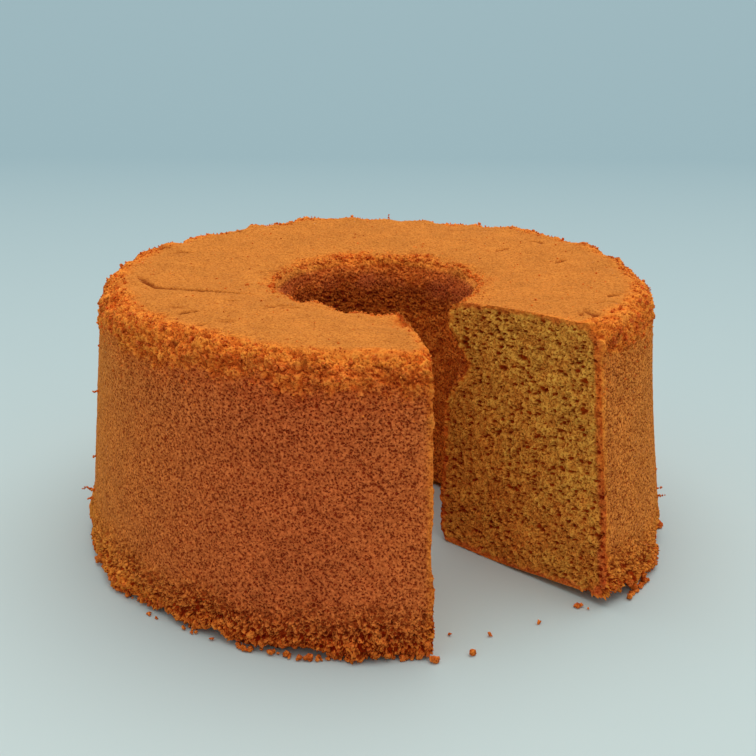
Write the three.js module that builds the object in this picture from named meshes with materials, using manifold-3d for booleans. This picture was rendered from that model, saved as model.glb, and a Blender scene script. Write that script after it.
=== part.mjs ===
// A tall ring-shaped sponge cake with one slice taken out, standing on its wide end.
// Millimetres, +Z up. The origin is on the cake's axis, on the flat face that it stands on.
//
// The cake is one solid. Its outline is drawn once, as a closed loop in a plane that holds the
// axis, and carried round from one knife cut to the other. Relief is then added as the bake and
// the tin left it: a wall that isn't quite round, a craggy shoulder and hole rim, a torn foot,
// and a dent in the wall of the hole. Last, a shallow crack is cut into the top.

import * as THREE from "three";
import Module from "manifold-3d";

// ---- Driving dimensions ------------------------------------------------------------------

const HEIGHT = 78; // the outer part of the top, above the foot
const FOOT_RADIUS = 87.6; // the widest ring, just above the foot
const TOP_RADIUS = 80.6; // the wall where the shoulder starts to turn in
const HOLE_RADIUS = 27.9; // the hole at the top
const HOLE_FOOT_RADIUS = 27.2; // the tube that made it tapers a little
const HOLE_RIM_DROP = 3.7; // the top sinks this much towards the hole
const SHOULDER_HEIGHT = 8.5; // the rounded outer edge of the top
const SHOULDER_WIDTH = 7.2;
const FOOT_LIFT = 1.6; // the foot's edge hangs this far above the table
const REST_RADIUS = 70; // out to here the underside lies flat

const LEFT_CUT = THREE.MathUtils.degToRad(9.6); // both from -Y towards +X
const RIGHT_CUT = THREE.MathUtils.degToRad(45.8);

// ---- How finely it is cut into faces ------------------------------------------------------

const COLUMNS = 134; // steps round the cake
const ACROSS = 8; // steps over the top, and again under the base
const UP = 12; // steps up the outer wall, and again up the hole

// ---- Noise --------------------------------------------------------------------------------

// A number from 0 to 1 for each point of a whole-number lattice, the same on every run.
function lattice(i, j, k) {
  let h = Math.imul(i, 374761393) ^ Math.imul(j, 668265263) ^ Math.imul(k, 1442695041);
  h = Math.imul(h ^ (h >>> 13), 1274126177);
  h = Math.imul(h ^ (h >>> 15), 1911520717);
  return ((h ^ (h >>> 16)) >>> 0) / 4294967296;
}

// Smooth noise from -1 to 1 at a point, for lumps of about the given size.
function lumps(x, y, z, size, seed = 0) {
  const p = [x / size, y / size, z / size + 31 * seed];
  const base = p.map(Math.floor);
  const t = p.map((v, n) => v - base[n]).map((f) => f * f * (3 - 2 * f));
  let sum = 0;
  for (let corner = 0; corner < 8; corner++) {
    const step = [corner & 1, (corner >> 1) & 1, corner >> 2];
    const weight = step.reduce((w, s, n) => w * (s ? t[n] : 1 - t[n]), 1);
    sum += weight * lattice(base[0] + step[0], base[1] + step[1], base[2] + step[2]);
  }
  return 2 * sum - 1;
}

// 1 at a distance of nothing, falling smoothly to almost 0 at twice the reach.
const nearTo = (distance, reach) => Math.exp(-((distance / reach) ** 2));

// 0 below the first value, 1 above the second, smooth between.
const rise = THREE.MathUtils.smoothstep;

// ---- The outline --------------------------------------------------------------------------

const SHOULDER_START = HEIGHT - SHOULDER_HEIGHT;
const RIM_HEIGHT = HEIGHT - HOLE_RIM_DROP;
const FOOT_CORNER = new THREE.Vector2(FOOT_RADIUS - 1.2, FOOT_LIFT);
const SHOULDER_TOP = new THREE.Vector2(TOP_RADIUS - SHOULDER_WIDTH, HEIGHT);
const HOLE_RIM = new THREE.Vector2(HOLE_RADIUS + 2.1, RIM_HEIGHT);
const HOLE_FOOT = new THREE.Vector2(HOLE_FOOT_RADIUS + 1.6, 0.9);

// The four sides of the outline, each running up or outwards. x is the radius and y the height.
function outlineSides() {
  const outer = new THREE.Path()
    .moveTo(FOOT_CORNER.x, FOOT_CORNER.y)
    .quadraticCurveTo(FOOT_RADIUS + 0.2, FOOT_LIFT + 1.2, FOOT_RADIUS, 9)
    .lineTo(TOP_RADIUS, SHOULDER_START)
    .quadraticCurveTo(TOP_RADIUS - 0.5, HEIGHT - 2.2, TOP_RADIUS - 3.2, HEIGHT - 1.5);
  const top = new THREE.Path()
    .moveTo(HOLE_RIM.x, HOLE_RIM.y)
    .quadraticCurveTo(HOLE_RADIUS + 4.5, RIM_HEIGHT + 1.9, HOLE_RADIUS + 12, HEIGHT - 1.5)
    .quadraticCurveTo(HOLE_RADIUS + 26, HEIGHT + 0.2, SHOULDER_TOP.x, SHOULDER_TOP.y)
    .quadraticCurveTo(TOP_RADIUS - 4.6, HEIGHT, TOP_RADIUS - 3.2, HEIGHT - 1.5);
  const hole = new THREE.Path()
    .moveTo(HOLE_FOOT.x, HOLE_FOOT.y)
    .quadraticCurveTo(HOLE_FOOT_RADIUS, 2, HOLE_FOOT_RADIUS, 6)
    .lineTo(HOLE_RADIUS, RIM_HEIGHT - 7)
    .quadraticCurveTo(HOLE_RADIUS + 0.1, RIM_HEIGHT - 1.6, HOLE_RIM.x, HOLE_RIM.y);
  const base = new THREE.Path()
    .moveTo(HOLE_FOOT.x, HOLE_FOOT.y)
    .quadraticCurveTo(HOLE_FOOT_RADIUS + 2.4, 0, HOLE_FOOT_RADIUS + 4, 0)
    .lineTo(REST_RADIUS, 0)
    .quadraticCurveTo(REST_RADIUS + 8, 0, FOOT_CORNER.x, FOOT_CORNER.y);
  return { outer, top, hole, base };
}

const SIDES = outlineSides();

// Even steps from 0 to 1, drawn towards both ends by the given amount, where the relief is.
function steps(count, pull) {
  return Array.from({ length: count + 1 }, (_, n) => {
    const t = n / count;
    return t - (pull * Math.sin(2 * Math.PI * t)) / (2 * Math.PI);
  });
}

// The outline as a grid of points over the cut face: rows go up, columns go outwards. Its edge is
// the outline itself, and each inner point is blended from the four sides.
function outlineGrid() {
  const along = steps(ACROSS, 0.35);
  const upwards = steps(UP, 0.55);
  const base = along.map((t) => SIDES.base.getPointAt(t));
  const top = along.map((t) => SIDES.top.getPointAt(t));
  const hole = upwards.map((t) => SIDES.hole.getPointAt(t));
  const outer = upwards.map((t) => SIDES.outer.getPointAt(t));
  return upwards.map((v, row) =>
    along.map((u, column) => {
      const blend = (name) => {
        const sides = (1 - u) * hole[row][name] + u * outer[row][name];
        const ends = (1 - v) * base[column][name] + v * top[column][name];
        const low = (1 - u) * base[0][name] + u * base[ACROSS][name];
        const high = (1 - u) * top[0][name] + u * top[ACROSS][name];
        return sides + ends - (1 - v) * low - v * high;
      };
      return new THREE.Vector2(blend("x"), blend("y"));
    }),
  );
}

// ---- The relief ---------------------------------------------------------------------------

const CRAG_SIZE = 8.5; // from one large lump to the next
const DENT = { height: 57, along: 4.5, reach: 7.5, depth: 8 }; // torn out when the slice left
const WORN = { radius: 41, along: 12, reach: 9.5, depth: 2.4 }; // rubbed low beside the left cut
const CURL = { start: 45, end: 78, along: 16, reach: 12, lift: 1.9 }; // beside the right cut
const SPREADS = [ // where the foot squashed outwards as it was torn from the tin
  { angle: THREE.MathUtils.degToRad(300), along: 17, out: 2.2 },
  { angle: THREE.MathUtils.degToRad(60), along: 12, out: 3.2 },
];

// Crags as high as they are deep, from -1 to 1: lumps of two sizes.
function crags(x, y, z, seed) {
  return 0.5 * lumps(x, y, z, CRAG_SIZE, seed) + 0.5 * lumps(x, y, z, CRAG_SIZE / 2, seed + 1);
}

// How far a point of the surface is pushed out along the outline's own outward direction.
function relief(radius, angle, height) {
  const x = radius * Math.sin(angle);
  const y = -radius * Math.cos(angle);
  const shoulder = nearTo(Math.hypot(radius - TOP_RADIUS + 3, height - HEIGHT + 3), 7);
  const rim = nearTo(Math.hypot(radius - HOLE_RIM.x, height - RIM_HEIGHT), 5);
  const foot = rise(radius, 75, 80) * nearTo(height, 10);
  const standing = rise(height, 0, 1.5);
  const fromWorn = Math.hypot(radius - WORN.radius, (height - RIM_HEIGHT) / 2);
  const leftCut = LEFT_CUT + 2 * Math.PI;
  const worn = nearTo(radius * (angle - leftCut), WORN.along) * nearTo(fromWorn, WORN.reach);
  const broad = 0.9 * lumps(x, y, height, 40, 45) + 0.4 * lumps(x, y, height, 17, 3);
  const atShoulder = shoulder * (2.4 * crags(x, y, height, 68) + 0.4);
  const atRim = rim * 1.8 * crags(x, y, height, 5);
  const spread = SPREADS.map((s) => s.out * nearTo(radius * (angle - s.angle), s.along));
  const atFoot = foot * (3 * crags(x, y, height, 7) + spread[0] + spread[1]);
  return standing * (broad + atShoulder + atRim + atFoot - WORN.depth * worn);
}

// The dent in the wall of the hole, beside the right-hand cut.
function dent(radius, angle, height) {
  const along = nearTo(HOLE_RADIUS * (angle - RIGHT_CUT), DENT.along);
  const fade = 1 - rise(radius, HOLE_RADIUS + 2, HOLE_RADIUS + 24);
  return DENT.depth * along * fade * nearTo(height - DENT.height, DENT.reach);
}

// How far the foot is lifted off the table beside the right-hand cut.
function curl(radius, angle, height) {
  const along = nearTo(radius * (angle - RIGHT_CUT), CURL.along);
  return CURL.lift * along * rise(radius, CURL.start, CURL.end) * nearTo(height, CURL.reach);
}

// A point of the finished surface, from a point of the outline and the way that it faces there.
function surfacePoint(point, facing, angle) {
  const push = relief(point.x, angle, point.y);
  const radius = point.x + facing.x * push + dent(point.x, angle, point.y);
  const height = Math.max(0, point.y + facing.y * push) + curl(point.x, angle, point.y);
  return [radius * Math.sin(angle), -radius * Math.cos(angle), height];
}

// ---- The body -----------------------------------------------------------------------------

// The places in the grid along its edge, in order, starting at the foot of the hole and going
// out under the base, up the outer wall, back over the top and down the hole.
function edgePlaces() {
  const places = [];
  for (let c = 0; c < ACROSS; c++) places.push([0, c]);
  for (let r = 0; r < UP; r++) places.push([r, ACROSS]);
  for (let c = ACROSS; c > 0; c--) places.push([UP, c]);
  for (let r = UP; r > 0; r--) places.push([r, 0]);
  return places;
}

// Which way the outline faces at each place of its edge, as seen in its plane.
function facings(points) {
  return points.map((_, n) => {
    const before = points[(n + points.length - 1) % points.length];
    const after = points[(n + 1) % points.length];
    return new THREE.Vector2(after.y - before.y, before.x - after.x).normalize();
  });
}

function bodyGeometry() {
  const grid = outlineGrid();
  const places = edgePlaces();
  const edge = places.map(([row, column]) => grid[row][column]);
  const facing = facings(edge);
  const positions = [];
  const triangles = [];
  const turn = 2 * Math.PI - RIGHT_CUT + LEFT_CUT;
  for (let column = 0; column <= COLUMNS; column++) {
    const angle = RIGHT_CUT + (turn * column) / COLUMNS;
    edge.forEach((point, n) => positions.push(...surfacePoint(point, facing[n], angle)));
  }
  const at = (column, n) => column * edge.length + (n % edge.length);
  for (let column = 0; column < COLUMNS; column++) {
    for (let n = 0; n < edge.length; n++) {
      const [a, b] = [at(column, n), at(column, n + 1)];
      const [c, d] = [at(column + 1, n), at(column + 1, n + 1)];
      // The diagonals alternate, so that the relief has no grain.
      if ((column + n) % 2) triangles.push(a, c, b, b, c, d);
      else triangles.push(a, d, b, a, c, d);
    }
  }
  addCutFace(positions, triangles, grid, places, RIGHT_CUT, (n) => at(0, n), false);
  addCutFace(positions, triangles, grid, places, LEFT_CUT, (n) => at(COLUMNS, n), true);
  const geometry = new THREE.BufferGeometry();
  geometry.setAttribute("position", new THREE.Float32BufferAttribute(positions, 3));
  geometry.setIndex(triangles);
  return geometry;
}

// A flat face where the knife went, as a grid whose edge is the last column of the skin.
function addCutFace(positions, triangles, grid, places, angle, edgeVertex, flipped) {
  const vertex = grid.map((row) => row.map(() => -1));
  places.forEach(([row, column], n) => (vertex[row][column] = edgeVertex(n)));
  for (let row = 1; row < UP; row++) {
    for (let column = 1; column < ACROSS; column++) {
      const { x: radius, y: height } = grid[row][column];
      const r = radius + dent(radius, angle, height);
      const z = height + curl(radius, angle, height);
      vertex[row][column] = positions.length / 3;
      positions.push(r * Math.sin(angle), -r * Math.cos(angle), z);
    }
  }
  for (let row = 0; row < UP; row++) {
    for (let column = 0; column < ACROSS; column++) {
      const [a, b] = [vertex[row][column], vertex[row][column + 1]];
      const [c, d] = [vertex[row + 1][column], vertex[row + 1][column + 1]];
      if (flipped) triangles.push(a, d, b, a, c, d);
      else triangles.push(a, b, d, a, d, c);
    }
  }
}

// ---- The crack ----------------------------------------------------------------------------

// Where the crack runs over the top, from near the shoulder towards the hole.
const CRACK = [
  [-70, -6],
  [-66, -12.5],
  [-62, -17.3],
  [-54, -18.2],
  [-44, -18.1],
  [-35.5, -18.8],
];
const CRACK_WIDTH = 1.8;
const CRACK_DEPTH = 2.2;

// The crack as a solid to cut away: a V section drawn along its route, pointed at both ends.
function crackGeometry() {
  const route = new THREE.CatmullRomCurve3(CRACK.map(([x, y]) => new THREE.Vector3(x, y, HEIGHT)));
  const count = 16;
  const positions = [];
  for (let n = 0; n <= count; n++) {
    const place = route.getPointAt(n / count);
    const along = route.getTangentAt(n / count);
    const side = new THREE.Vector3(-along.y, along.x, 0).setLength(CRACK_WIDTH / 2);
    const size = 0.25 + 0.75 * Math.sin((Math.PI * n) / count);
    const open = 3; // how far above the top the section is closed
    positions.push(place.x + side.x * size, place.y + side.y * size, HEIGHT + open);
    positions.push(place.x - side.x * size, place.y - side.y * size, HEIGHT + open);
    positions.push(place.x, place.y, HEIGHT - CRACK_DEPTH * size);
  }
  const triangles = [0, 1, 2];
  for (let n = 0; n < count; n++) {
    for (let edge = 0; edge < 3; edge++) {
      const [a, b] = [3 * n + edge, 3 * n + ((edge + 1) % 3)];
      triangles.push(a, a + 3, b, b, a + 3, b + 3);
    }
  }
  triangles.push(3 * count, 3 * count + 2, 3 * count + 1);
  const geometry = new THREE.BufferGeometry();
  geometry.setAttribute("position", new THREE.Float32BufferAttribute(positions, 3));
  geometry.setIndex(triangles);
  return geometry;
}

// ---- Joining and cutting ------------------------------------------------------------------

const wasm = await Module();
wasm.setup();

function toSolid(geometry) {
  const vertProperties = new Float32Array(geometry.getAttribute("position").array);
  const triVerts = new Uint32Array(geometry.getIndex().array);
  return new wasm.Manifold(new wasm.Mesh({ numProp: 3, vertProperties, triVerts }));
}

function toGeometry(solid) {
  const { vertProperties, triVerts } = solid.getMesh();
  const geometry = new THREE.BufferGeometry();
  geometry.setAttribute("position", new THREE.BufferAttribute(vertProperties, 3));
  geometry.setIndex(new THREE.BufferAttribute(triVerts, 1));
  return geometry;
}

// ---- The cake -----------------------------------------------------------------------------

const cake = new THREE.Group();
const crust = new THREE.MeshStandardMaterial({ color: 0xb5692f, roughness: 0.95, metalness: 0 });
const cracked = toSolid(bodyGeometry()).subtract(toSolid(crackGeometry()));
const mesh = new THREE.Mesh(toGeometry(cracked), crust);
mesh.name = "chiffon_cake";
cake.add(mesh);

export default cake;
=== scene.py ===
# %% [markdown]
# # A chiffon cake with one slice taken out
# A chiffon cake is baked in a tall tin with a tube up its middle, hung upside down to cool and
# then worked loose. That leaves a tall ring of sponge with a thin browned skin, torn at its
# edges, and everywhere the small round pores of the beaten egg white.
#
# The solid model gives the form and the sizes. This script keeps that form and adds what the eye
# looks for up close: the pores, the crumbling edges, the cut crumb and the loose crumbs.

import math

import bmesh
import bpy
import numpy as np
from mathutils import Matrix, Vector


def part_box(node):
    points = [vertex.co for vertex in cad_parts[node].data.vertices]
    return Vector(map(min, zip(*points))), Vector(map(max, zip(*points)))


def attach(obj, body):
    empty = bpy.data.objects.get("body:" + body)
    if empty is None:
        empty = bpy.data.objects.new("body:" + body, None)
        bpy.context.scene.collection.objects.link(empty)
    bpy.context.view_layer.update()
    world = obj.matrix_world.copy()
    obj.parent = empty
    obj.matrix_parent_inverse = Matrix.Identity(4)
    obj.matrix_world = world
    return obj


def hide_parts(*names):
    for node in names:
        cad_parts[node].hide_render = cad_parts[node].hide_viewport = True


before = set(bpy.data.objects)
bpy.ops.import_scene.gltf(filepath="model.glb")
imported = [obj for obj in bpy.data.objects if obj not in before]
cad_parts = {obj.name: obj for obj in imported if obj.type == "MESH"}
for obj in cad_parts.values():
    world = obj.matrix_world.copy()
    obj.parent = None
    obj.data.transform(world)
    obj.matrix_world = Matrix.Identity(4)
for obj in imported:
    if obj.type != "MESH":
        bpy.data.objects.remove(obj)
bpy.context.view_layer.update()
low, high = (np.array(corner) * 1000 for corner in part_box("chiffon_cake"))
print("the cake measures", (high - low).round(1), "mm")

# %% [markdown]
# ## The camera
# The photograph was taken from a little above the table with a short telephoto view. A camera
# can be placed by eye, but here its place was worked out from the outlines of the cake: the two
# ellipses of its top, the foot and the two upright cuts only line up from one place.

# %% Place the camera
CAMERA_PLACE = (0.0, -0.3555, 0.1693)  # metres
CAMERA_DOWN, CAMERA_TURN, CAMERA_ROLL = 19.3, 0.07, 0.3  # degrees
CAMERA_LENS = 58.41  # mm, on a sensor 36 mm wide

camera = bpy.data.objects.new("camera", bpy.data.cameras.new("camera"))
camera.data.lens = CAMERA_LENS
camera.data.sensor_width = 36
camera.data.clip_start = 0.01
turn, down, roll = (
    Matrix.Rotation(math.radians(degrees), 4, axis)
    for degrees, axis in ((-CAMERA_TURN, "Z"), (90 - CAMERA_DOWN, "X"), (CAMERA_ROLL, "Z"))
)
camera.matrix_world = Matrix.Translation(CAMERA_PLACE) @ turn @ down @ roll
bpy.context.collection.objects.link(camera)
bpy.context.scene.camera = camera
bpy.context.scene.view_settings.view_transform = "Standard"
print("camera at", CAMERA_PLACE, "lens", CAMERA_LENS)

# %% [markdown]
# ## Smooth random lumps
# A baked surface is uneven at every scale. Blender's own noise textures could give that, but the
# broad lumps have to be the very ones of the solid model, so that both have one form. So this is
# the model's own noise: a random number at each point of a lattice, blended in between.

# %% The model's noise
def lattice(i, j, k):
    """A number from 0 to 1 for each point of a whole-number lattice."""
    i, j, k = (np.asarray(v).astype(np.int64).astype(np.uint32) for v in (i, j, k))
    h = (i * np.uint32(374761393)) ^ (j * np.uint32(668265263)) ^ (k * np.uint32(1442695041))
    h = (h ^ (h >> np.uint32(13))) * np.uint32(1274126177)
    h = (h ^ (h >> np.uint32(15))) * np.uint32(1911520717)
    return (h ^ (h >> np.uint32(16))) / 4294967296


def lumps(x, y, z, size, seed=0):
    """Smooth noise from -1 to 1, for lumps of about the given size in millimetres."""
    p = (x / size, y / size, z / size + 31 * seed)
    base = [np.floor(v) for v in p]
    t = [v - b for v, b in zip(p, base)]
    t = [f * f * (3 - 2 * f) for f in t]
    total = 0
    for corner in range(8):
        step = (corner & 1, corner >> 1 & 1, corner >> 2)
        weight = 1
        for s, f in zip(step, t):
            weight = weight * (f if s else 1 - f)
        total = total + weight * lattice(*(b + s for b, s in zip(base, step)))
    return 2 * total - 1


def near_to(distance, reach):
    """1 at no distance, falling smoothly to almost 0 at twice the reach."""
    return np.exp(-((distance / reach) ** 2))


def rise(value, start, end):
    """0 below start, 1 above end, smooth between."""
    t = np.clip((value - start) / (end - start), 0, 1)
    return t * t * (3 - 2 * t)


print("noise at one point:", float(lumps(np.array([10.0]), np.array([5.0]), np.array([3.0]), 7)[0]))

# %% [markdown]
# ## The outline of the ring
# Cut through the ring at any place and the same outline shows: flat below, a tapered wall, a
# rounded shoulder, a top that sinks a little towards the hole, and the wall that the tube left.
# It is drawn as four sides, each a few straight lines and bends, as in the solid model.

# %% Draw the outline
HEIGHT = 78.0
FOOT_RADIUS = 87.6
TOP_RADIUS = 80.6
HOLE_RADIUS, HOLE_FOOT_RADIUS = 27.9, 27.2
RIM_HEIGHT = HEIGHT - 3.7
SHOULDER_START = HEIGHT - 8.5
FOOT_CORNER = (FOOT_RADIUS - 1.2, 1.6)
REST_RADIUS = 70.0
HOLE_RIM = (HOLE_RADIUS + 2.1, RIM_HEIGHT)
HOLE_FOOT = (HOLE_FOOT_RADIUS + 1.6, 0.9)
TOP_CORNER = (TOP_RADIUS - 3.2, HEIGHT - 1.5)

LEFT_CUT, RIGHT_CUT = math.radians(9.6), math.radians(45.8)  # from -Y towards +X
TURN = 2 * math.pi - RIGHT_CUT + LEFT_CUT  # how far the cake goes round

OUTER = [
    FOOT_CORNER,
    [(FOOT_RADIUS + 0.2, 2.8), (FOOT_RADIUS, 9)],
    [(TOP_RADIUS, SHOULDER_START)],
    [(TOP_RADIUS - 0.5, HEIGHT - 2.2), TOP_CORNER],
]
TOP = [
    HOLE_RIM,
    [(HOLE_RADIUS + 4.5, RIM_HEIGHT + 1.9), (HOLE_RADIUS + 12, HEIGHT - 1.5)],
    [(HOLE_RADIUS + 26, HEIGHT + 0.2), (TOP_RADIUS - 7.2, HEIGHT)],
    [(TOP_RADIUS - 4.6, HEIGHT), TOP_CORNER],
]
HOLE = [
    HOLE_FOOT,
    [(HOLE_FOOT_RADIUS, 2), (HOLE_FOOT_RADIUS, 6)],
    [(HOLE_RADIUS, RIM_HEIGHT - 7)],
    [(HOLE_RADIUS + 0.1, RIM_HEIGHT - 1.6), HOLE_RIM],
]
BASE = [
    HOLE_FOOT,
    [(HOLE_FOOT_RADIUS + 2.4, 0), (HOLE_FOOT_RADIUS + 4, 0)],
    [(REST_RADIUS, 0)],
    [(REST_RADIUS + 8, 0), FOOT_CORNER],
]


def closeness(height):
    """How close together the rows lie: closest at the foot and the shoulder, where the skin is torn."""
    return 1 + 0.9 * (1 - np.clip((height - 13) / 8, 0, 1)) + 0.9 * np.clip((height - 52) / 8, 0, 1)


def drawn(path, count, weight=lambda height: 1.0):
    """Steps along a path: a start, then [end] for a line or [handle, end] for a bend."""
    t = np.linspace(0, 1, 60)[:, None]
    here = np.array(path[0], float)
    points = [here[None]]
    for stroke in path[1:]:
        end = np.array(stroke[-1], float)
        handle = np.array(stroke[0], float) if len(stroke) == 2 else (here + end) / 2
        points.append(((1 - t) ** 2 * here + 2 * t * (1 - t) * handle + t * t * end)[1:])
        here = end
    points = np.concatenate(points)
    middles = (points[1:, 1] + points[:-1, 1]) / 2
    length = np.append(0, np.cumsum(np.hypot(*np.diff(points, axis=0).T) * weight(middles)))
    at = np.linspace(0, length[-1], count + 1)
    return np.stack([np.interp(at, length, points[:, n]) for n in (0, 1)], 1)


ACROSS, UP = 116, 176  # steps over the top and up the wall, about half a millimetre each
base, top = drawn(BASE, ACROSS), drawn(TOP, ACROSS)
outer, hole = drawn(OUTER, UP, closeness), drawn(HOLE, UP, closeness)
outline = np.concatenate([base[:-1], outer[:-1], top[:0:-1], hole[:0:-1]])
before, after = np.roll(outline, 1, 0), np.roll(outline, -1, 0)
facing = np.stack([after[:, 1] - before[:, 1], before[:, 0] - after[:, 0]], 1)
facing /= np.linalg.norm(facing, axis=1)[:, None]
print(len(outline), "points round the outline")

# %% [markdown]
# ## The broad relief
# The tin, the bake and the hands that worked the cake loose leave it uneven. The wall isn't
# quite round, the shoulder and the rim of the hole crumbled, the foot tore off the tin, and a bite
# of the hole's wall came away with the slice. All of this is in the solid model too.

# %% Relief of the solid model
CRAG_SIZE = 8.5  # mm from one crag to the next
DENT = dict(height=57.0, along=4.5, reach=7.5, depth=8.0)
WORN = dict(radius=41.0, along=12.0, reach=9.5, depth=2.4)
CURL = dict(start=45.0, end=78.0, along=16.0, reach=12.0, lift=1.9)
SPREADS = [(math.radians(300), 17.0, 2.2), (math.radians(60), 12.0, 3.2)]  # angle, along, how far out


def crags(x, y, z, seed):
    return 0.5 * lumps(x, y, z, CRAG_SIZE, seed) + 0.5 * lumps(x, y, z, CRAG_SIZE / 2, seed + 1)


def relief(radius, angle, height):
    """How far the surface is pushed out, in millimetres."""
    x, y = radius * np.sin(angle), -radius * np.cos(angle)
    shoulder = near_to(np.hypot(radius - TOP_RADIUS + 3, height - HEIGHT + 3), 7)
    rim = near_to(np.hypot(radius - HOLE_RIM[0], height - RIM_HEIGHT), 5)
    foot = rise(radius, 75, 80) * near_to(height, 10)
    away = np.hypot(radius - WORN["radius"], (height - RIM_HEIGHT) / 2) / WORN["reach"]
    worn = near_to(radius * (angle - LEFT_CUT - 2 * math.pi), WORN["along"]) * near_to(away, 1)
    out = 0.9 * lumps(x, y, height, 40, 45) + 0.4 * lumps(x, y, height, 17, 3)
    out = out + shoulder * (2.4 * crags(x, y, height, 68) + 0.4)
    out = out + rim * 1.8 * crags(x, y, height, 5) - WORN["depth"] * worn
    spread = sum(far * near_to(radius * (angle - middle), along) for middle, along, far in SPREADS)
    out = out + foot * (3 * crags(x, y, height, 7) + spread)
    return rise(height, 0, 1.5) * out


def dent(radius, angle, height):
    """The bite out of the hole's wall beside the right-hand cut."""
    along = HOLE_RADIUS * np.abs(angle - RIGHT_CUT)
    bite = near_to(along, DENT["along"]) * near_to(height - DENT["height"], DENT["reach"])
    return DENT["depth"] * bite * (1 - rise(radius, HOLE_RADIUS + 2, HOLE_RADIUS + 24))


def curl(radius, angle, height):
    """How far the foot is lifted beside the right-hand cut."""
    along = near_to(radius * (angle - RIGHT_CUT), CURL["along"]) * rise(radius, CURL["start"], CURL["end"])
    return CURL["lift"] * along * near_to(height, CURL["reach"])


# %% [markdown]
# ## Carry the outline round
# A Screw modifier would sweep the outline, with as many steps at the small hole as at the wide
# wall. Here the rows are made from arrays instead, so that the number of steps can halve as the
# ring gets smaller. Every face then measures about half a millimetre, which is fine enough for
# the pores, and the whole cake stays under a million triangles.

# %% Sweep the rows
FULL = 1120  # steps round the widest rows
WALL_STEPS = [(52, FULL), (30.5, FULL // 2), (0, FULL // 4)]  # beyond this radius, this many
UNDER_STEPS = [(80, FULL), (79.2, FULL // 2), (78.4, FULL // 4), (0, FULL // 8)]

row_side = np.repeat(["base", "outer", "top", "hole"], [ACROSS, UP, ACROSS, UP])
counts = np.array([
    next(steps for least, steps in (UNDER_STEPS if side == "base" else WALL_STEPS) if r > least)
    for side, (r, _) in zip(row_side, outline)
])
starts = np.append(0, np.cumsum(counts + 1))
row = np.repeat(np.arange(len(outline)), counts + 1)
share = np.concatenate([np.linspace(0, 1, count + 1) for count in counts])
radius, height = outline[row].T
angle = RIGHT_CUT + TURN * share
print(len(row), "points on the skin, in rows of", sorted(set(counts.tolist())))


def strip(a, b):
    """The triangles between row a and the next row b, whose counts are equal, halve or double."""
    n, m = counts[a], counts[b]
    j = np.arange(min(n, m))
    p, q = starts[a] + j * (n // len(j)), starts[b] + j * (m // len(j))
    if n == m:
        faces = [(p, p + 1, q), (q, p + 1, q + 1)]
    elif m > n:
        faces = [(p, q + 1, q), (p, p + 1, q + 1), (p + 1, q + 2, q + 1)]
    else:
        faces = [(p, p + 1, q), (p + 1, q + 1, q), (p + 1, p + 2, q + 1)]
    return np.concatenate([np.stack(face, 1) for face in faces])


# %% [markdown]
# ## Where the skin is rough
# How deep the pores are and how much the skin crumbles isn't the same everywhere. The top was
# the smooth bottom of the tin, so its pores are fine and shallow. The wall tore a little all over
# as it left the tin. The shoulder and the foot broke into crumbs, and a knife opened the big
# bubbles of the crumb. These amounts are worked out once for each point and kept on the mesh as
# attributes, which the mesh and the material both read.

# %% The regions of the skin
def from_cut(radius, angle):
    """How far along the ring a point is from the nearer cut, in millimetres."""
    return radius * np.minimum(angle - RIGHT_CUT, RIGHT_CUT + TURN - angle)


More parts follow.
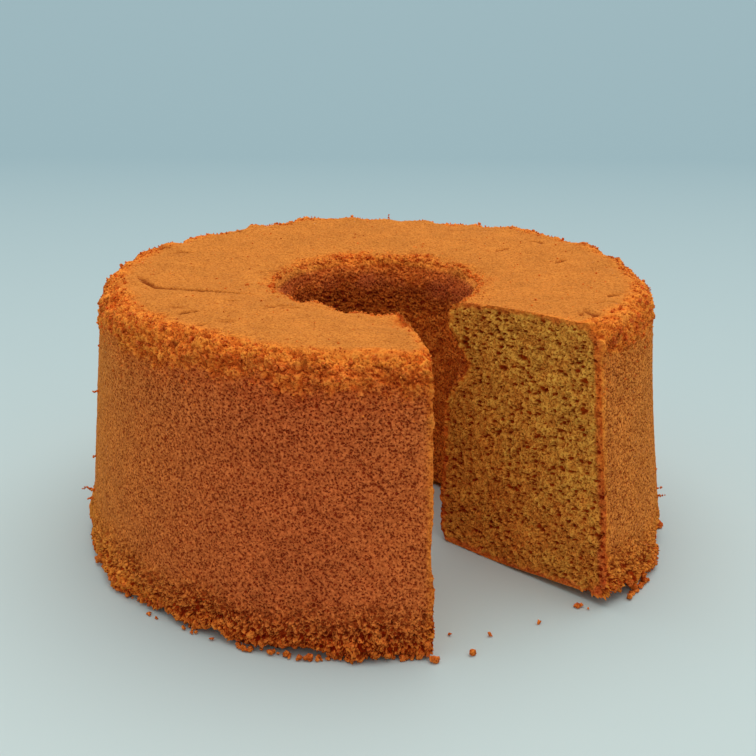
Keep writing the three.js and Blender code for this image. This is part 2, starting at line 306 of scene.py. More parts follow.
def skin_regions(radius, angle, height, facing):
    """How far each point belongs to each region, from 0 to about 1."""
    x, y = radius * np.sin(angle), -radius * np.cos(angle)
    at = dict(everywhere=np.ones_like(radius))
    ragged = 2.6 * lumps(x, y, height, 11, 11) + 1.8 * lumps(x, y, height, 4, 12)
    torn = 1.5 * lumps(x, y, height, 1.6, 13)
    at["upward"] = upward = rise(facing[:, 1], 0.15, 0.75)
    at["downward"] = rise(-facing[:, 1], 0.3, 0.8) * (1 - rise(height, 1, 4))
    # Painted shade darkens the wall of the hole below its rim, and painted light lifts it where light
    # falls in through the space of the missing slice.
    at["tube"] = tube = 1 - rise(radius, HOLE_RADIUS + 0.5, HOLE_RADIUS + 3.5)
    at_left_cut = near_to(HOLE_RADIUS * (angle - LEFT_CUT - 2 * math.pi), 4)
    below_rim = 1 - rise(height + ragged + torn, RIM_HEIGHT - 13, RIM_HEIGHT - 4.5)
    at["deep"] = deep = tube * below_rim * (1 - at_left_cut)
    opposite = near_to(HOLE_RADIUS * (angle - math.radians(125)), 29)
    at["lit"] = lit = opposite * tube * (1 - rise(height, 50, 66))
    at["rugged"] = deep * (1.2 - 0.8 * lit)
    # The shoulder and the rim crumbled, and patches there are painted darker as the shade of hollows
    # where more of them came away.
    from_shoulder = np.hypot(radius - TOP_RADIUS + 1.2, height - HEIGHT + 3.8) + ragged + torn
    shoulder = 1 - rise(from_shoulder, 2, 6.5)
    at["under_shoulder"] = (1 - rise(from_shoulder, 4, 14)) * (1 - upward)
    behind = near_to(angle - math.pi, 0.85)
    rim = 1 - rise(np.hypot(radius - HOLE_RIM[0] - 0.5, height - RIM_HEIGHT + 1) + ragged + torn, 3, 7)
    at["crumbly"] = crumbly = np.maximum(shoulder, rim * (0.2 + 0.8 * behind))
    at["flat"] = upward * (1 - crumbly)
    from_edge = np.hypot(radius - TOP_RADIUS + 5, height - HEIGHT)
    at["top_edge"] = near_to(from_edge, 2.5) * rise(torn + ragged, -4, 3)
    patchy = lumps(x, y, height, 3, 15) + 0.6 * lumps(x, y, height, 1.3, 16)
    # Painted shade: darker patches where hollows would be.
    at["hollow"] = np.maximum(shoulder, 0.8 * at["top_edge"]) * rise(patchy, 0.4, 0.8)
    # The foot stuck to the tin, most of all at its lowest edge.
    at["foot"] = rise(radius, 74, 79) * (1 - rise(height + ragged, 3, 18))
    at["lowest"] = rise(radius, 74, 79) * (1 - rise(height + 0.5 * ragged, 2, 7))
    # The knife left a soft edge on the wall and a corner in the hole.
    near_cut = from_cut(radius, angle)
    at["knife"] = near_to(near_cut, 1.5) * (1 - tube)
    at["corner"] = near_to(near_cut, 3) * tube
    # Painted light: the wall is paler at both sides and at its left side, where more light fell; its
    # left side also has shallower pores.
    from_front = np.abs(np.mod(angle + math.radians(12) + math.pi, 2 * math.pi) - math.pi)
    sides = (1 - near_to(from_front, 0.85)) * (1 - 0.55 * rise(from_front, 1.7, 2.7))
    at["sides"] = sides * (1 - tube)
    at["left_side"] = near_to(angle - math.radians(275), 0.5) * (1 - tube) * (1 - upward)
    return at


# %% Amounts for each point of the skin
DEPTHS = {  # mm that each region adds to the depth of the pores and the height of clumps and strands
    "middle": dict(everywhere=0.07, flat=-0.04, crumbly=0.08, under_shoulder=0.2, foot=0.7, rugged=0.4),
    "coarse": dict(everywhere=0.07, flat=-0.03, crumbly=0.12, under_shoulder=0.12, foot=0.5, rugged=0.35),
    "clump": dict(everywhere=0.2, flat=-0.06, crumbly=0.9, under_shoulder=0.3, foot=0.45, lowest=1.0,
                  rugged=0.6, knife=0.6, corner=0.3, top_edge=0.9),
    "strand": dict(everywhere=0.08, flat=-0.06, crumbly=0.2, under_shoulder=0.15, foot=1.3, rugged=0.2),
}


def skin_amounts(at, height):
    """Depths of the pores and height of the clumps and strands, in mm, and three shades."""
    fine = (0.42 - 0.26 * at["flat"] - 0.1 * at["downward"]) * (1 - 0.5 * at["knife"])
    amounts = dict(fine=fine * (1 - 0.25 * at["crumbly"]) * (1 - 0.4 * at["left_side"]))
    for key, parts in DEPTHS.items():
        amounts[key] = sum(depth * at[region] for region, depth in parts.items())
    amounts["clump"] = amounts["clump"] + 0.5 * at["lit"] * at["deep"]
    resting = rise(height, 0, 1.2)  # nothing stands out below the flat underside
    amounts = {key: resting * amount for key, amount in amounts.items()}
    # Painted light makes the sides of the wall paler.
    pale = np.maximum(at["upward"], 0.6 * at["crumbly"]) + 0.5 * at["foot"] + 0.95 * at["sides"]
    pale = np.clip(pale + 0.6 * at["knife"], 0, 1)
    amounts["pale"] = pale * (1 - at["deep"]) + at["deep"]
    # Painted shade deep in the hole, less where the light falls in, and in the shaded hollows.
    amounts["painted_shade"] = np.maximum(0.7 * at["deep"] * (1 - at["lit"]) ** 2, 0.7 * at["hollow"])
    # Painted light: less browning makes the left side of the wall paler.
    amounts["browning"] = 1 - 0.1 * at["left_side"]
    return amounts


skin = skin_amounts(skin_regions(radius, angle, height, facing[row]), height)
print("pores are up to", round(float(max(skin["middle"] + skin["coarse"])), 2), "mm deep")

# %% [markdown]
# ## Cracks in the top
# As the cake sank a little while it cooled, the tight skin of the top split. The long crack runs
# in from the left of the shoulder, and short tears lie scattered over the rest. Each is a route
# of a few points on the top, and every point of the skin near it sinks by how close it lies.

# %% The cracks
LONG_CRACK = [(-70, -6), (-66, -12.5), (-62, -17.3), (-54, -18.2), (-44, -18.1), (-35.5, -18.8)]
TEARS = [  # the two ends of each short tear
    [(-57, -41), (-52, -40)], [(-52, -46), (-47, -44)], [(-47, -58), (-43, -56)], [(-40, -54), (-36, -52.5)],
    [(-31, -38), (-23, -30)], [(-26, -36), (-20.5, -33)], [(-42, -31), (-38, -30.5)], [(-70, 27), (-65, 30)],
    [(-66, 24), (-58, 27)], [(-51, 57), (-46, 54)], [(56, -39), (58, -48)], [(64, -26), (69, -23)],
    [(60, -31), (66, -33)], [(54, -44), (56, -41)], [(55, 14), (59, 18)], [(49, 42), (54, 38)],
    [(38, 30), (43, 33)], [(-36, 8), (-30, 13)],
]


def tear(start, end):
    """A short route between two places, with a kink in its middle."""
    start, end = np.array(start), np.array(end)
    along = end - start
    return [start, (start + end) / 2 + 0.12 * np.array([-along[1], along[0]]), end]


def sunk_by(route, x, y, width, depth):
    """How far a crack along the route lets each point sink, in millimetres."""
    route = np.array(route, float)
    lengths = np.hypot(*np.diff(route, axis=0).T)
    total, passed, sunk = lengths.sum(), 0.0, np.zeros_like(x)
    wander_x = 0.7 * lumps(x, y, 0 * x, 4, 21) + 0.5 * lumps(x, y, 0 * x, 1.3, 23)
    wander_y = 0.7 * lumps(x, y, 0 * x, 4, 22) + 0.5 * lumps(x, y, 0 * x, 1.3, 24)
    uneven = 0.85 + 0.4 * lumps(x, y, 0 * x, 3, 25)
    for start, end, length in zip(route[:-1], route[1:], lengths):
        dx, dy = end - start
        t = np.clip(((x + wander_x - start[0]) * dx + (y + wander_y - start[1]) * dy) / length**2, 0, 1)
        away = np.hypot(x + wander_x - start[0] - t * dx, y + wander_y - start[1] - t * dy)
        taper = np.sin(np.pi * np.clip((passed + t * length) / total, 0.02, 0.98)) ** 0.4
        sunk = np.maximum(sunk, depth * uneven * taper * near_to(away, width * (0.4 + 0.6 * taper)))
        passed += length
    return sunk


on_top = row_side[row] == "top"
x, y = (radius * np.sin(angle))[on_top], (-radius * np.cos(angle))[on_top]
crack = np.zeros_like(radius)
crack[on_top] = sunk_by(LONG_CRACK, x, y, 1.2, 2.2)
for ends in TEARS:
    crack[on_top] = np.maximum(crack[on_top], sunk_by(tear(*ends), x, y, 0.8, 1.2))
# Painted shade: the cracks are darker, as the shade inside them.
skin["painted_shade"] = np.maximum(skin["painted_shade"], rise(crack, 0.2, 0.9))
print("the cracks sink", round(float(crack.max()), 2), "mm")

# %% [markdown]
# ## Place the skin
# Each point starts on the outline, is pushed out by the relief and sunk by the cracks, and is
# then turned to its place round the axis. Close to the cuts it also sways a little sideways,
# because a knife drags soft sponge and never leaves a true plane.

# %% Places of the skin's points
def sway(radius, height):
    """How far the knife strayed, in millimetres along the ring."""
    level = np.zeros_like(radius)
    return 0.5 * lumps(radius, level, height, 14, 31) + 0.25 * lumps(radius, level, height, 3.5, 32)


def turned(radius, angle, height):
    return np.stack([radius * np.sin(angle), -radius * np.cos(angle), height], 1)


push = relief(radius, angle, height) - crack
out_radius, out_height = radius + facing[row, 0] * push, height + facing[row, 1] * push
out_radius = out_radius + dent(radius, angle, height)
out_height = out_height + curl(radius, angle, height)
stray = np.where(share < 0.5, 1, -1) * sway(radius, height) * near_to(from_cut(radius, angle), 1.5)
out_angle = angle + stray * rise(height, 0, 1.2) / radius
skin_place = turned(out_radius, out_angle, np.maximum(out_height, 0))
skin_facing = turned(facing[row, 0], angle, facing[row, 1])
print("the skin's points lie within", skin_place.min(0).round(1), skin_place.max(0).round(1))

# %% [markdown]
# ## The cut faces
# Each cut shows the whole height of the crumb inside its thin browned skin. The face is a grid
# stretched between the four sides of the outline, each inner point blended from them, which is
# known as a Coons patch. Its border is the last column of the skin itself, so nothing gapes. How
# deep inside the skin each point lies gives the browning.

# %% Lay a grid over the cut
def blended(outer, top, hole, base):
    """Rows going up, columns going outwards, between the four sides."""
    v, u = np.linspace(0, 1, UP + 1)[:, None, None], np.linspace(0, 1, ACROSS + 1)[None, :, None]
    sides = (1 - u) * hole[:, None] + u * outer[:, None]
    ends = (1 - v) * base[None] + v * top[None]
    low = (1 - u) * base[0] + u * base[-1]
    high = (1 - u) * top[0] + u * top[-1]
    return sides + ends - (1 - v) * low - v * high


def depth_inside(grid):
    """How far each point of the cut lies inside the outline, in millimetres."""
    border = outline[::4]
    flat = grid.reshape(-1, 2)
    near = np.full(len(flat), np.inf)
    for start in range(0, len(border), 32):
        gap = flat[:, None] - border[None, start : start + 32]
        near = np.minimum(near, np.hypot(gap[..., 0], gap[..., 1]).min(1))
    return near.reshape(grid.shape[:2])


cut_grid = blended(outer, top, hole, base)
cut_depth = depth_inside(cut_grid)
rim_rows = np.concatenate([
    np.stack([np.zeros(ACROSS, int), np.arange(ACROSS)], 1),
    np.stack([np.arange(UP), np.full(UP, ACROSS)], 1),
    np.stack([np.full(ACROSS, UP), np.arange(ACROSS, 0, -1)], 1),
    np.stack([np.arange(UP, 0, -1), np.zeros(UP, int)], 1),
])  # the grid place of each row of the skin, in order
print("the crumb reaches", round(float(cut_depth.max()), 1), "mm deep")


def cut_face(cut_angle, sideways, ends):
    """Points, amounts and triangles of one cut; ends are the skin's points along it."""
    radius, height = cut_grid[..., 0].ravel(), cut_grid[..., 1].ravel()
    angle = np.full_like(radius, cut_angle)
    shifted = radius + dent(radius, angle, height)
    stray = sway(radius, height) * rise(height, 0, 1.2)
    place = turned(shifted, cut_angle + sideways * stray / radius, height + curl(radius, angle, height))
    outward = -sideways * np.array([math.cos(cut_angle), math.sin(cut_angle), 0.0])
    facing = np.tile(outward, (len(radius), 1))
    depth = cut_depth.ravel()
    level = np.zeros_like(radius)
    patchy = 0.7 * lumps(radius, level, height, 5, 41) + 0.6 * lumps(radius, level, height, 1.7, 42)
    inside = rise(depth, 0.5, 3)
    outermost = np.tile(rise(np.linspace(0, 1, ACROSS + 1), 0.9, 0.97), UP + 1)
    innermost = np.tile(1 - rise(np.linspace(0, 1, ACROSS + 1), 0.02, 0.08), UP + 1)
    upright = np.maximum(outermost, innermost) * (1 - inside)
    skin_depth = 1.4 + 1.5 * outermost - 0.9 * innermost * rise(height, 30, 60)
    hue = 0.22 * lumps(radius, level, height, 6, 43) + 0.22 * lumps(radius, level, height, 2.1, 44)
    amounts = dict(
        fine=0.18 + 0.14 * inside,
        middle=0.15 + 0.65 * inside + 0.25 * upright,
        coarse=0.1 + 0.8 * inside + 0.2 * upright,
        clump=0.6 + 0.5 * upright,
        strand=0.25 + 0.1 * inside,
        pale=np.clip(0.3 + 0.55 * rise(height, 5, 60) + hue - 0.15 * outermost * (1 - inside), 0, 1),
        painted_shade=level,
        browning=1 - rise(depth + patchy - skin_depth, -0.6, 0.6),
    )
    number = (rim_rows[:, 0] * (ACROSS + 1) + rim_rows[:, 1]).astype(int)
    place[number], facing[number] = skin_place[ends], skin_facing[ends]
    for name, values in amounts.items():
        values[number] = skin[name][ends]
    corner = (np.arange(UP)[:, None] * (ACROSS + 1) + np.arange(ACROSS)[None]).ravel()
    a, b, c, d = corner, corner + 1, corner + ACROSS + 1, corner + ACROSS + 2
    faces = np.concatenate([np.stack([a, b, d], 1), np.stack([a, d, c], 1)])
    uv = np.stack([(radius - 26) / 64, height / 82], 1)
    return place, facing, amounts, faces if sideways > 0 else faces[:, ::-1], uv


# %% [markdown]
# ## From arrays to meshes
# Every piece goes the same way into Blender: points, triangles, a map for textures, and the
# amounts as attributes. The place of each point before its pores are sunk is kept too. The
# material reads its patterns from there, so that a dark spot always lies in the pore that the
# mesh has.

# %% Make a mesh from arrays
MM = 0.001


def mesh_piece(name, place, facing, amounts, faces, uv):
    used, index = np.unique(faces, return_inverse=True)
    index = index.reshape(faces.shape)
    mesh = bpy.data.meshes.new(name)
    mesh.vertices.add(len(used))
    mesh.vertices.foreach_set("co", (place[used] * MM).astype(np.float32).ravel())
    mesh.loops.add(index.size)
    mesh.loops.foreach_set("vertex_index", index.ravel().astype(np.int32))
    mesh.polygons.add(len(index))
    mesh.polygons.foreach_set("loop_start", np.arange(0, index.size, 3, dtype=np.int32))
    vectors = dict(place=place * MM, facing=facing)
    for key, values in vectors.items():
        layer = mesh.attributes.new(key, "FLOAT_VECTOR", "POINT")
        layer.data.foreach_set("vector", values[used].astype(np.float32).ravel())
    for key, values in amounts.items():
        layer = mesh.attributes.new(key, "FLOAT", "POINT")
        layer.data.foreach_set("value", values[used].astype(np.float32))
    layer = mesh.uv_layers.new(name="OFBake")
    layer.data.foreach_set("uv", np.clip(uv[faces.ravel()], 0, 1).astype(np.float32).ravel())
    mesh.update(calc_edges=True)
    mesh.shade_smooth()
    piece = bpy.data.objects.new(name, mesh)
    bpy.context.collection.objects.link(piece)
    print(name, len(used), "points", len(index), "triangles")
    return piece


# %% Split the skin into pieces
def skin_faces(side):
    first = {"base": 0, "outer": ACROSS, "top": ACROSS + UP, "hole": 2 * ACROSS + UP}[side]
    count = ACROSS if side in ("base", "top") else UP
    rows = [(n, (n + 1) % len(outline)) for n in range(first, first + count)]
    return np.concatenate([strip(a, b) for a, b in rows])


row_share = np.concatenate([np.arange(count) / count for count in (ACROSS, UP, ACROSS, UP)])


def skin_piece(name, side, start=0.0, end=1.0):
    """One side of the skin, or the stretch of it between two shares of the way round."""
    faces = skin_faces(side)
    middle = share[faces].mean(1)
    faces = faces[(middle > start) & (middle < end)]
    upward = np.where(row_side[row] == side, row_share[row], 1.0)
    uv = np.stack([(share - start) / (end - start), upward], 1)
    return mesh_piece(name, skin_place, skin_facing, skin, faces, uv)


pieces = [
    skin_piece("outer_crust_right", "outer", 0, 0.5),
    skin_piece("outer_crust_left", "outer", 0.5, 1),
    skin_piece("top_crust", "top"),
    skin_piece("tube_wall", "hole"),
    skin_piece("underside", "base"),
    mesh_piece("cut_face_right", *cut_face(RIGHT_CUT, 1, starts[:-1])),
    mesh_piece("cut_face_left", *cut_face(LEFT_CUT, -1, starts[1:] - 1)),
]

# %% [markdown]
# ## The pores
# A pore is a bubble that burst. Modelling thousands one by one would be slow, and a bump alone
# leaves the outline smooth. A Voronoi texture has one random point in each cell of space, so a
# round pit about each point, of a random size, is a field of bubbles. Geometry Nodes sink the
# mesh into it, and the material darkens the same pits, so one function makes both.

# %% A node with its settings and links
def add(tree, kind, inputs=(), **settings):
    """Adds one node. Each input is given as a value or as the socket that feeds it."""
    node = tree.nodes.new(kind)
    for key, value in settings.items():
        setattr(node, key, value)
    for key, value in dict(inputs).items():
        if isinstance(value, bpy.types.NodeSocket):
            tree.links.new(value, node.inputs[key])
        else:
            node.inputs[key].default_value = value
    return node


# %% The field of pores
PORES = {  # mm from one to the next; least and most reach as a share of that; rarity of large; flatness
    "fine": (0.62, 0.31, 0.62, 1.0, 1.0),
    "middle": (2.1, 0.18, 0.64, 1.4, 2.1),
    "coarse": (5.0, 0.05, 0.47, 2.4, 2.0),
}
PIT_FLOOR = 0.48  # how much of a pore's reach is its flat floor
WOBBLE, WOBBLE_REACH = 1.1, 1.2  # mm between the bends that keep the pores from being round; how far
CLUMP = 2.2  # mm from one torn clump to the next
STRAND, STRAND_WIDTH = 1.8, 0.075  # mm between strands of stretched crumb; their width in the noise


def sponge_field(tree, place):
    """Sockets from 0 to 1: how deep in each kind of pore, how high up a clump, how near a strand."""
    wobble = add(tree, "ShaderNodeTexNoise", {"Vector": place, "Scale": 1 / (WOBBLE * MM), "Detail": 2.0})
    centred = add(tree, "ShaderNodeVectorMath", {0: wobble.outputs["Color"], 1: (0.5, 0.5, 0.5)},
                  operation="SUBTRACT")
    moved = add(tree, "ShaderNodeVectorMath", {0: centred.outputs[0], 1: (WOBBLE_REACH * MM,) * 3, 2: place},
                operation="MULTIPLY_ADD")
    field = {}
    for key, (size, least, most, rarity, flatness) in PORES.items():
        flattened = add(tree, "ShaderNodeVectorMath", {0: moved.outputs[0], 1: (1, 1, flatness)},
                        operation="MULTIPLY")
        cells = add(tree, "ShaderNodeTexVoronoi", {
            "Vector": flattened.outputs[0], "Scale": 1 / (size * MM),
        })
        random = add(tree, "ShaderNodeSeparateXYZ", {0: cells.outputs["Color"]})
        rare = add(tree, "ShaderNodeMath", {0: random.outputs[0], 1: rarity}, operation="POWER")
        edge = add(tree, "ShaderNodeMath", {0: rare.outputs[0], 1: most - least, 2: least},
                   operation="MULTIPLY_ADD")
        bottom = add(tree, "ShaderNodeMath", {0: edge.outputs[0], 1: PIT_FLOOR}, operation="MULTIPLY")
        pit = add(tree, "ShaderNodeMapRange", {
            "Value": cells.outputs["Distance"], "From Min": edge.outputs[0], "From Max": bottom.outputs[0],
        }, interpolation_type="SMOOTHSTEP")
        field[key] = pit.outputs["Result"]
    torn = add(tree, "ShaderNodeTexNoise", {
        "Vector": moved.outputs[0], "Scale": 1 / (CLUMP * MM), "Detail": 4.0, "Roughness": 0.64,
    })
    clump = add(tree, "ShaderNodeMapRange", {"Value": torn.outputs[0], "From Min": 0.32, "From Max": 0.66})
    field["clump"] = clump.outputs["Result"]
    upright = add(tree, "ShaderNodeVectorMath", {0: moved.outputs[0], 1: (1, 1, 0.6)}, operation="MULTIPLY")
    threads = add(tree, "ShaderNodeTexNoise", {
        "Vector": upright.outputs[0], "Scale": 1 / (STRAND * MM), "Detail": 1.0,
    })
    two = add(tree, "ShaderNodeSeparateXYZ", {0: threads.outputs["Color"]})
    strand = 0.0
    for which in (0, 1):
        middle = add(tree, "ShaderNodeMath", {0: two.outputs[which], 1: 0.5}, operation="SUBTRACT")
        away = add(tree, "ShaderNodeMath", {0: middle.outputs[0]}, operation="ABSOLUTE")
        near = add(tree, "ShaderNodeMapRange", {
            "Value": away.outputs[0], "From Min": STRAND_WIDTH, "From Max": 0.0,
        }, interpolation_type="SMOOTHSTEP")
        strand = add(tree, "ShaderNodeMath", {0: strand, 1: near.outputs[0]}, operation="MAXIMUM").outputs[0]
    field["strand"] = strand
    return field


# %% Sink the pores and raise the clumps
def pore_modifier():
    tree = bpy.data.node_groups.new("pores_and_clumps", "GeometryNodeTree")
    tree.interface.new_socket("Geometry", in_out="INPUT", socket_type="NodeSocketGeometry")
    tree.interface.new_socket("Geometry", in_out="OUTPUT", socket_type="NodeSocketGeometry")
    start, end = add(tree, "NodeGroupInput"), add(tree, "NodeGroupOutput")
    place = add(tree, "GeometryNodeInputPosition").outputs[0]
    field = sponge_field(tree, place)
    total = 0.0
    for key, sign, start_at in (("clump", 1, -0.5), ("strand", 1, -0.4), ("fine", -1, 0.0),
                                ("middle", -1, 0.0), ("coarse", -1, 0.0)):
        amount = add(tree, "GeometryNodeInputNamedAttribute", {"Name": key}).outputs["Attribute"]
        level = add(tree, "ShaderNodeMath", {0: field[key], 1: sign, 2: start_at},
                    operation="MULTIPLY_ADD")
        total = add(tree, "ShaderNodeMath", {0: level.outputs[0], 1: amount, 2: total},
                    operation="MULTIPLY_ADD").outputs[0]
    metres = add(tree, "ShaderNodeMath", {0: total, 1: MM}, operation="MULTIPLY")
    outward = add(tree, "GeometryNodeInputNamedAttribute", {"Name": "facing"}, data_type="FLOAT_VECTOR")
    offset = add(tree, "ShaderNodeVectorMath", {0: outward.outputs["Attribute"], 3: metres.outputs[0]},
                 operation="SCALE")
    moved = add(tree, "ShaderNodeVectorMath", {0: place, 1: offset.outputs[0]}, operation="ADD")
    resting = add(tree, "ShaderNodeVectorMath", {0: moved.outputs[0], 1: (-1, -1, 0)}, operation="MAXIMUM")
    placed = add(tree, "GeometryNodeSetPosition", {
        "Geometry": start.outputs[0], "Position": resting.outputs[0],
    })
    tree.links.new(placed.outputs[0], end.inputs[0])
    return tree


pores = pore_modifier()
for piece in pieces:
    piece.modifiers.new("pores", "NODES").node_group = pores
depsgraph = bpy.context.evaluated_depsgraph_get()
for piece in pieces:
    plain = piece.data
    piece.data = bpy.data.meshes.new_from_object(piece.evaluated_get(depsgraph))
    piece.data.name = piece.name
    piece.modifiers.clear()
    bpy.data.meshes.remove(plain)
print("pores sunk into", len(pieces), "pieces")

# %% [markdown]
# ## The baked sponge
# Sponge is a foam of egg white and starch, so it is matt all through. Where it met the hot tin
# it browned to a deep orange skin, and inside it stayed the colour of its batter. Both are one
# material here, as they are one dough: the amount of browning moves between the two.

# %% Colours of the sponge
def linear(hexadecimal):
    """The linear colour of an sRGB hex value."""
    srgb = [int(hexadecimal[n : n + 2], 16) / 255 for n in (1, 3, 5)]
    return tuple(c / 12.92 if c <= 0.04045 else ((c + 0.055) / 1.055) ** 2.4 for c in srgb) + (1.0,)


CRUST_TOP, CRUST_WALL = linear("#E8923C"), linear("#D86F38")
CRUMB_TOP, CRUMB_LOW = linear("#F0BE55"), linear("#E69740")
PORE_SHADE = (0.45, 0.13, 0.015, 1)  # what a pore's depth leaves of each colour
# Painted shade: what is left of each colour in the cracks, in the shaded hollows and deep in the hole.
PAINTED_SHADE_TINT = (0.45, 0.28, 0.18, 1)  # what is left in the cracks and, partly, on the wall of the hole
GRAIN_DARK, GRAIN_LIGHT = (0.6, 0.42, 0.3, 1), (1.32, 1.34, 1.4, 1)  # the same for the finest grain
SPONGE_IOR, SPONGE_ROUGHNESS, SPONGE_SHINE = 1.45, 0.95, 0.12  # dried starch and sugar, torn rough
GRAIN, PATCH = 0.6, 9.0  # mm across the finest grain and the broad patches of the bake
BUMP, GRAIN_BUMP, PORE_BUMP = 0.7, 0.35, 0.5  # strength of the bump; how much of each goes into it
SHOWN = {"fine": 2.2, "middle": 1.8, "coarse": 1.7, "clump": 0.34, "strand": 0.8}  # how soon depth darkens
# Painted shade at the foot of a torn clump and a painted highlight on its crest.
CLUMP_SHADE_TINT, CLUMP_HIGHLIGHT_TINT = (1.25, 0.84, 0.52, 1), (1.48, 1.36, 1.1, 1)  # low and high on a torn clump
CREVICES = {"clump": (0.36, 0.0), "strand": (0.25, 0.0)}  # where a crevice starts and where it is darkest


def pore_shadows(tree, field):
    """How dark each place is, and how deep it lies for the bump."""
    dark, sunk = 0.0, 0.0
    for key, soon in SHOWN.items():
        amount = add(tree, "ShaderNodeAttribute", attribute_name=key).outputs["Fac"]
        deep = field[key]
        if key in CREVICES:
            start, darkest = CREVICES[key]
            deep = add(tree, "ShaderNodeMapRange", {"Value": deep, "From Min": start, "From Max": darkest},
                       interpolation_type="SMOOTHSTEP").outputs["Result"]
        share = add(tree, "ShaderNodeMath", {0: amount, 1: soon}, operation="MULTIPLY", use_clamp=True)
        shadow = add(tree, "ShaderNodeMath", {0: deep, 1: share.outputs[0]}, operation="MULTIPLY")
        dark = add(tree, "ShaderNodeMath", {0: dark, 1: shadow.outputs[0]}, operation="MAXIMUM").outputs[0]
        sunk = add(tree, "ShaderNodeMath", {0: shadow.outputs[0], 1: PORE_BUMP, 2: sunk},
                   operation="MULTIPLY_ADD").outputs[0]
    return dark, sunk


# %% From batter to crust, with its shadows
def browned(tree, dark):
    """The colour of the crumb or the crust, darkened by painted shade in the pores, in the cracks, in the
    hollows of the edges and deep in the hole.
    """
    shade = {
        key: add(tree, "ShaderNodeAttribute", attribute_name=key).outputs["Fac"]
        for key in ("pale", "browning", "painted_shade")
    }
    crust = add(tree, "ShaderNodeMix", {0: shade["pale"], 6: CRUST_WALL, 7: CRUST_TOP}, data_type="RGBA")
    crumb = add(tree, "ShaderNodeMix", {0: shade["pale"], 6: CRUMB_LOW, 7: CRUMB_TOP}, data_type="RGBA")
    strands = add(tree, "ShaderNodeMix", {0: shade["browning"], 6: crumb.outputs[2], 7: crust.outputs[2]},
                  data_type="RGBA")
    porous = add(tree, "ShaderNodeMix", {0: dark, 6: strands.outputs[2], 7: PORE_SHADE},
                 data_type="RGBA", blend_type="MULTIPLY")
    # Painted shade in the cracks, the shaded hollows and deep in the hole.
    shaded = add(tree, "ShaderNodeMix", {0: shade["painted_shade"], 6: porous.outputs[2], 7: PAINTED_SHADE_TINT},
                   data_type="RGBA", blend_type="MULTIPLY")
    return shaded.outputs[2]


# %% The tints of the grain, the clumps and the patches
def grain_tint(tree, grain):
    """Dark and light grains, most where the fine pores are deep."""
    rough = add(tree, "ShaderNodeAttribute", attribute_name="fine").outputs["Fac"]
    rough = add(tree, "ShaderNodeMath", {0: rough, 1: 2.4}, operation="MULTIPLY", use_clamp=True)
    share = add(tree, "ShaderNodeMapRange", {
        "Value": grain, "From Min": 0.3, "From Max": 0.7, "To Min": -0.5, "To Max": 0.5,
    })
    share = add(tree, "ShaderNodeMath", {0: share.outputs["Result"], 1: rough.outputs[0], 2: 0.5},
                operation="MULTIPLY_ADD")
    tint = add(tree, "ShaderNodeMix", {0: share.outputs[0], 6: GRAIN_DARK, 7: GRAIN_LIGHT},
               data_type="RGBA")
    return tint.outputs[2]


def clump_light_and_shade(tree, clump):
    """Painted highlight on the crest of a torn clump, and redder painted shade at its foot."""
    crest = add(tree, "ShaderNodeMapRange", {"Value": clump, "From Min": 0.3, "From Max": 0.85})
    torn = add(tree, "ShaderNodeAttribute", attribute_name="clump").outputs["Fac"]
    torn = add(tree, "ShaderNodeMath", {0: torn, 1: 0.9}, operation="MULTIPLY", use_clamp=True)
    tint = add(tree, "ShaderNodeMix", {0: crest.outputs["Result"], 6: CLUMP_SHADE_TINT, 7: CLUMP_HIGHLIGHT_TINT},
               data_type="RGBA")
    tint = add(tree, "ShaderNodeMix", {0: torn.outputs[0], 6: (1, 1, 1, 1), 7: tint.outputs[2]},
               data_type="RGBA")
    return tint.outputs[2]


def patch_light(tree, place):
    """Broad patches that baked a little lighter or darker."""
    patches = add(tree, "ShaderNodeTexNoise", {
        "Vector": place, "Scale": 1 / (PATCH * MM), "Detail": 5.0, "Roughness": 0.65,
    })
    light = add(tree, "ShaderNodeMapRange", {
        "Value": patches.outputs[0], "From Min": 0.3, "From Max": 0.7, "To Min": 0.89, "To Max": 1.11,
    })
    return light.outputs["Result"]


# %% The material
def baked_sponge():
    material = bpy.data.materials.new("baked_chiffon_sponge")
    material.use_nodes = True
    tree = material.node_tree
    shader = tree.nodes["Principled BSDF"]
    shader.inputs["IOR"].default_value = SPONGE_IOR
    shader.inputs["Roughness"].default_value = SPONGE_ROUGHNESS
    shader.inputs["Specular IOR Level"].default_value = SPONGE_SHINE
    place = add(tree, "ShaderNodeAttribute", attribute_name="place").outputs["Vector"]
    field = sponge_field(tree, place)
    dark, sunk = pore_shadows(tree, field)
    grain = add(tree, "ShaderNodeTexNoise", {"Vector": place, "Scale": 1 / (GRAIN * MM), "Detail": 2.0})
    colour = browned(tree, dark)
    for tint in (grain_tint(tree, grain.outputs[0]), clump_light_and_shade(tree, field["clump"])):
        colour = add(tree, "ShaderNodeVectorMath", {0: colour, 1: tint}, operation="MULTIPLY").outputs[0]
    colour = add(tree, "ShaderNodeVectorMath", {0: colour, 3: patch_light(tree, place)}, operation="SCALE")
    tree.links.new(colour.outputs[0], shader.inputs["Base Color"])
    raised = add(tree, "ShaderNodeMath", {0: grain.outputs[0], 1: GRAIN_BUMP}, operation="MULTIPLY")
    raised = add(tree, "ShaderNodeMath", {0: raised.outputs[0], 1: sunk}, operation="SUBTRACT")
    bump = add(tree, "ShaderNodeBump", {"Height": raised.outputs[0], "Strength": BUMP, "Distance": MM})
    tree.links.new(bump.outputs[0], shader.inputs["Normal"])
    return material


sponge = baked_sponge()
for piece in pieces:
    piece.data.materials.clear()
    piece.data.materials.append(sponge)

